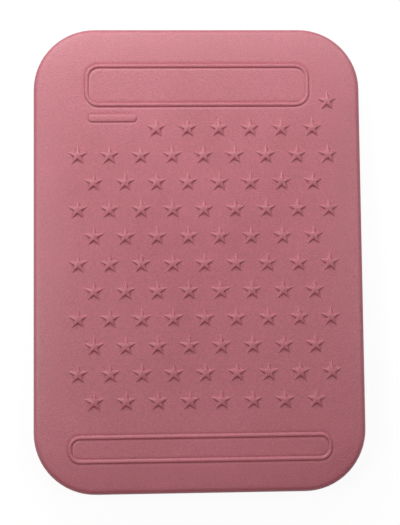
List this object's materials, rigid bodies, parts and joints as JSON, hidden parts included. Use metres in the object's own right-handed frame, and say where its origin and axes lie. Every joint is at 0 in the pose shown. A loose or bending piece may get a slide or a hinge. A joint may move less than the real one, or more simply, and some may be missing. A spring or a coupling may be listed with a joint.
{
  "type": "pin badge board",
  "caption": "Moulded foam board with round corners and a field of raised stars that keeps and shows pin badges, gripping their posts in a foam core over a hard stop sheet.",
  "frame": {"origin": "middle of the flat back, on the surface that the board lies on", "axes": "+X to the right across the starred face, +Y to the top of the face, +Z out of the face"},
  "size_m": [0.134, 0.189, 0.0133],
  "materials": {
    "face_foam": "satin",
    "back_foam": "satin",
    "core_foam": "matte",
    "sheet_plastic": "satin",
    "bond_film": "satin"
  },
  "bodies": {
    "root": {"face_tray": "face_foam", "back_tray": "back_foam", "grip_core": "core_foam", "stop_sheet": "sheet_plastic", "face_film": "bond_film", "core_film": "bond_film", "sheet_film": "bond_film", "rim_film": "bond_film"}
  },
  "joints": []
}
